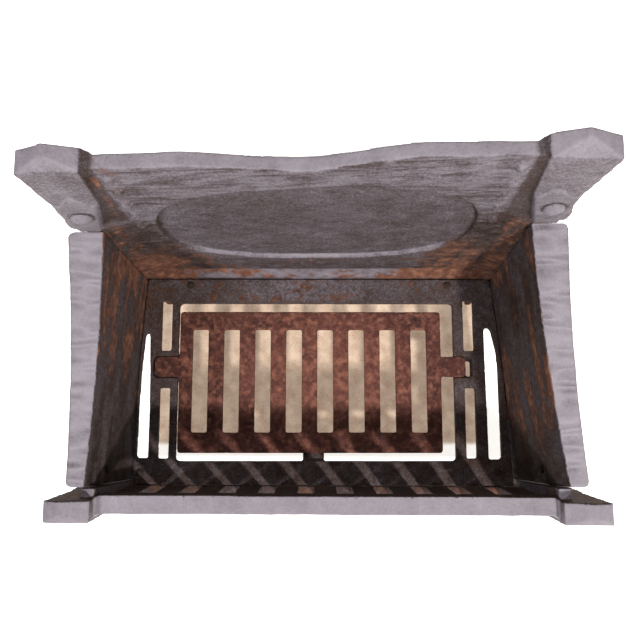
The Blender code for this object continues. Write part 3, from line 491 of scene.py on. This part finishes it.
# ---- materials -----------------------------------------------------------------------------------
IRON_SHARE = 0.55  # what the iron's colours are dimmed by under lights that turn the floor white
GREYS = [
    (0.0, (166, 158, 167)),
    (0.22, (146, 138, 146)),
    (0.5, (108, 98, 104)),
    (0.68, (86, 74, 74)),
    (0.86, (74, 57, 51)),
    (1.0, (50, 37, 33)),
]
WALL_RUST = [(0.3, (88, 56, 46)), (0.5, (132, 88, 70)), (0.68, (176, 124, 96))]
PLATE_RUST = [(0.25, (66, 44, 38)), (0.55, (106, 72, 56)), (0.75, (152, 108, 82))]
GRATE_TONES = [
    (0.0, (150, 98, 84)),
    (0.35, (112, 66, 56)),
    (0.6, (86, 50, 44)),
    (0.85, (62, 40, 38)),
    (1.0, (48, 36, 38)),
]
GRATE_RUST = [(0.25, (78, 46, 40)), (0.42, (112, 68, 58)), (0.58, (152, 100, 84)), (0.75, (180, 116, 84))]


def linear(colour):
    """A display colour, each channel from 0 to 255, as scene light."""
    shares = (channel / 255 for channel in colour)
    return tuple(((c + 0.055) / 1.055) ** 2.4 if c > 0.0404 else c / 12.92 for c in shares)


class Nodes:
    """Shorthand for building a material's node tree."""

    def __init__(self, material):
        self.tree = material.node_tree

    def add(self, kind, **settings):
        node = self.tree.nodes.new(kind)
        for key, value in settings.items():
            setattr(node, key, value)
        return node

    def link(self, source, target):
        self.tree.links.new(source, target)

    def noise(self, scale, detail, roughness, distortion=0.0):
        place = self.add("ShaderNodeTexCoord")
        texture = self.add("ShaderNodeTexNoise")
        texture.inputs["Scale"].default_value = scale
        texture.inputs["Detail"].default_value = detail
        texture.inputs["Roughness"].default_value = roughness
        texture.inputs["Distortion"].default_value = distortion
        self.link(place.outputs["Object"], texture.inputs["Vector"])
        return texture.outputs["Fac"]

    def attribute(self, name):
        return self.add("ShaderNodeAttribute", attribute_name=name).outputs["Fac"]

    def math(self, operation, a, b=0.0, clamp=False):
        node = self.add("ShaderNodeMath", operation=operation, use_clamp=clamp)
        for socket, value in zip(node.inputs, (a, b)):
            if isinstance(value, (int, float)):
                socket.default_value = value
            else:
                self.link(value, socket)
        return node.outputs[0]

    def spread(self, value, low, high, out_low=0.0, out_high=1.0):
        node = self.add("ShaderNodeMapRange", interpolation_type="SMOOTHSTEP")
        self.link(value, node.inputs["Value"])
        node.inputs["From Min"].default_value = low
        node.inputs["From Max"].default_value = high
        node.inputs["To Min"].default_value = out_low
        node.inputs["To Max"].default_value = out_high
        return node.outputs["Result"]

    def colours(self, value, stops):
        node = self.add("ShaderNodeValToRGB")
        ramp_stops = node.color_ramp.elements
        while len(ramp_stops) < len(stops):
            ramp_stops.new(0.5)
        for stop, (position, colour) in zip(ramp_stops, stops):
            stop.position = position
            stop.color = (*(IRON_SHARE * c for c in linear(colour)), 1)
        self.link(value, node.inputs["Fac"])
        return node.outputs["Color"]

    def mix(self, amount, a, b):
        node = self.add("ShaderNodeMix", data_type="RGBA")
        self.link(amount, node.inputs["Factor"])
        for socket, value in ((node.inputs[6], a), (node.inputs[7], b)):
            if isinstance(value, tuple):
                socket.default_value = (*linear(value), 1)
            else:
                self.link(value, socket)
        return node.outputs[2]


def iron_material(name, stops, rust_stops, grain_scale, bump, roughness=(0.62, 0.9)):
    """Old cast iron: the tone attribute picks from bare grey to soot black, and also carries painted
    shade and highlights; rust adds bloom.
    """
    material = bpy.data.materials.new(name)
    material.use_nodes = True
    nodes = Nodes(material)
    shader = material.node_tree.nodes["Principled BSDF"]
    cloud = nodes.noise(34, 8, 0.66)
    speck = nodes.noise(grain_scale, 4, 0.75)
    tone = nodes.attribute("tone")
    shift = nodes.math("MULTIPLY", nodes.math("SUBTRACT", cloud, 0.5), 0.50)
    coarseness = nodes.spread(tone, 0.15, 0.5, 0.5, 1.25)
    grit = nodes.math("MULTIPLY", nodes.math("SUBTRACT", speck, 0.5), coarseness)
    tone = nodes.math("ADD", nodes.math("ADD", tone, shift), grit, clamp=True)
    colour = nodes.colours(tone, stops)
    bloom = nodes.noise(75, 6, 0.68, distortion=0.6)
    speckle = nodes.noise(320, 4, 0.7)
    amount = nodes.attribute("rust")
    edge = nodes.math("ADD", nodes.math("MULTIPLY", bloom, 0.75), nodes.math("MULTIPLY", speckle, 0.25))
    reach = nodes.math("SUBTRACT", nodes.math("ADD", edge, amount), 0.92)
    cover = nodes.spread(reach, -0.16, 0.40)
    rust = nodes.colours(nodes.noise(110, 5, 0.7), rust_stops)
    colour = nodes.mix(cover, colour, rust)
    nodes.link(colour, shader.inputs["Base Color"])
    dull = nodes.math("MULTIPLY", cover, 0.15)
    dull = nodes.math("ADD", nodes.spread(tone, 0, 1, *roughness), dull, clamp=True)
    nodes.link(dull, shader.inputs["Roughness"])
    shader.inputs["Specular IOR Level"].default_value = 0.2
    relief = nodes.add("ShaderNodeBump")
    relief.inputs["Strength"].default_value = bump
    relief.inputs["Distance"].default_value = 0.001
    fine = nodes.math("ADD", nodes.noise(900, 4, 0.65), nodes.math("MULTIPLY", cover, 0.5))
    nodes.link(fine, relief.inputs["Height"])
    nodes.link(relief.outputs["Normal"], shader.inputs["Normal"])
    return material


# ---- set -----------------------------------------------------------------------------------------
FLOOR_SIZE = 60
FLOOR_DROP = 0.0005  # under the feet
PATCH_MIDDLE_X = -0.0087
PATCH_SIDE = (0.210, 0.201)  # half width at its outer and inner limit
PATCH_FRONT = (-0.085, -0.077)
PATCH_REAR = (0.16, 0.13)
PAPER_GLOW = 0.80
PATCH_GLOW = 0.46
PATCH_SHADE = 0.45
PAPER = ((240, 236, 230), (250, 248, 244))
SAND = ((186, 156, 132), (240, 216, 192))
LIGHT_TARGET = Vector((0, 0, 0.15))
WORLD_LIGHT = 0.31


def make_floor():
    """White paper, with a warmer patch of ground where the basket stands over it; painted shade darkens
    the patch, and it glows less than the paper.
    """
    bpy.ops.mesh.primitive_plane_add(size=FLOOR_SIZE, location=(0, 0, -FLOOR_DROP))
    floor = bpy.context.object
    floor.name = "studio_floor"
    material = bpy.data.materials.new("pale_floor")
    material.use_nodes = True
    nodes = Nodes(material)
    shader = material.node_tree.nodes["Principled BSDF"]
    place = nodes.add("ShaderNodeSeparateXYZ")
    nodes.link(nodes.add("ShaderNodeTexCoord").outputs["Object"], place.inputs["Vector"])
    across = nodes.math("ABSOLUTE", nodes.math("SUBTRACT", place.outputs["X"], PATCH_MIDDLE_X))
    patch = nodes.spread(across, *PATCH_SIDE)
    patch = nodes.math("MULTIPLY", patch, nodes.spread(place.outputs["Y"], *PATCH_FRONT))
    patch = nodes.math("MULTIPLY", patch, nodes.spread(place.outputs["Y"], *PATCH_REAR))
    speck = nodes.noise(60, 5, 0.6)
    grains = nodes.math("MULTIPLY", nodes.noise(900, 4, 0.7), 0.6)
    sand = nodes.math("ADD", grains, nodes.math("MULTIPLY", speck, 0.4))
    paper = nodes.mix(speck, *PAPER)
    ground = nodes.mix(nodes.spread(sand, 0.35, 0.65), *SAND)
    colour = nodes.mix(patch, paper, ground)
    # Painted shade: the patch's colour is darkened where the basket stands over it.
    painted_shade_colour = nodes.mix(nodes.math("MULTIPLY", patch, PATCH_SHADE), colour, (0, 0, 0))
    nodes.link(painted_shade_colour, shader.inputs["Base Color"])
    # The paper glows evenly so that it stays white; the patch's weaker glow is painted light on the
    # ground under the basket.
    nodes.link(colour, shader.inputs["Emission Color"])
    nodes.link(nodes.spread(patch, 0, 1, PAPER_GLOW, PATCH_GLOW), shader.inputs["Emission Strength"])
    shader.inputs["Roughness"].default_value = 0.9
    shader.inputs["Specular IOR Level"].default_value = 0.1
    floor.data.materials.append(material)


def make_light(name, direction, distance, size, power, colour):
    data = bpy.data.lights.new(name, "AREA")
    data.shape = "DISK"
    data.size = size
    data.energy = power
    data.color = colour
    light = bpy.data.objects.new(name, data)
    aim = Vector(direction).normalized()
    light.location = LIGHT_TARGET + aim * distance
    light.rotation_mode = "QUATERNION"
    light.rotation_quaternion = (-aim).to_track_quat("-Z", "Y")
    bpy.context.scene.collection.objects.link(light)


def make_studio():
    make_floor()
    make_light("key_front_right", (0.65, -1, 1.56), 2.6, 0.16, 88, (1.0, 0.97, 0.94))
    make_light("fill_front_left", (-1.2, -1, 1.6), 2.6, 0.3, 42, (0.96, 0.97, 1.0))
    make_light("overhead", (0, 0.5, 1), 2.4, 1.8, 17, (1.0, 1.0, 1.0))
    world = bpy.data.worlds.new("studio")
    world.use_nodes = True
    background = world.node_tree.nodes["Background"]
    background.inputs["Color"].default_value = (1, 1, 1, 1)
    background.inputs["Strength"].default_value = WORLD_LIGHT
    bpy.context.scene.world = world
    bpy.context.scene.view_settings.view_transform = "Standard"


def make_camera():
    """Looks down into the basket from in front, turned by its tilt, then yaw, then roll."""
    data = bpy.data.cameras.new("camera")
    data.lens = CAMERA_LENS
    data.sensor_width = CAMERA_SENSOR
    camera = bpy.data.objects.new("camera", data)
    ahead = Vector((0, math.sin(CAMERA_TILT), -math.cos(CAMERA_TILT)))
    right = Vector((1, 0, 0))
    above = Vector((0, math.cos(CAMERA_TILT), math.sin(CAMERA_TILT)))
    ahead, right = (
        ahead * math.cos(CAMERA_YAW) + right * math.sin(CAMERA_YAW),
        right * math.cos(CAMERA_YAW) - ahead * math.sin(CAMERA_YAW),
    )
    right, above = (
        right * math.cos(CAMERA_ROLL) + above * math.sin(CAMERA_ROLL),
        above * math.cos(CAMERA_ROLL) - right * math.sin(CAMERA_ROLL),
    )
    turn = Matrix((right, above, -ahead)).transposed()
    camera.matrix_world = Matrix.Translation(Vector(ORIGIN) + Vector(CAMERA_AT)) @ turn.to_4x4()
    bpy.context.scene.collection.objects.link(camera)
    bpy.context.scene.camera = camera


# ---- build ---------------------------------------------------------------------------------------
make_camera()
make_studio()

hammered = iron_material("hammered_iron", GREYS, WALL_RUST, 420, 0.5)
sooty = iron_material("sooty_iron", GREYS, PLATE_RUST, 420, 0.55, (0.7, 0.9))
rusty = iron_material("rusty_iron", GRATE_TONES, GRATE_RUST, 300, 0.6, (0.8, 0.92))

# Slot, cell of the fine mesh in metres, relief, colouring, material and most triangles of each piece.
fireback_looks = ("hammered_iron", 0.0014, fireback_relief, fireback_colouring, hammered, 190000)
cheek_looks = ("hammered_iron", 0.0012, cheek_relief, cheek_colouring, hammered, 120000)
fret_looks = ("hammered_iron", 0.0012, fret_relief, fret_colouring, hammered, 190000)
base_looks = ("sooty_iron", 0.0010, plate_relief, base_colouring, sooty, 120000)
grate_looks = ("rusty_iron", 0.0010, plate_relief, grate_colouring, rusty, 110000)
open_fastener_looks = ("bolt_iron", 0.0007, fastener_relief, open_fastener_colouring, hammered, 6000)
hearth_fastener_looks = ("bolt_iron", 0.0007, fastener_relief, hearth_fastener_colouring, sooty, 6000)

finish_piece("fireback", "basket", *fireback_looks)
for cheek in ("left_cheek", "right_cheek"):
    finish_piece(cheek, "basket", *cheek_looks)
finish_piece("front_fret", "basket", *fret_looks)
finish_piece("base_frame", "basket", *base_looks)
finish_piece("rocking_grate", "rocking_grate", *grate_looks)
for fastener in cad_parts:
    if "bolt" in fastener or "nut" in fastener or "screw" in fastener:
        in_the_open = "_ear_" in fastener
        looks = open_fastener_looks if in_the_open else hearth_fastener_looks
        finish_piece(fastener, "basket", *looks)
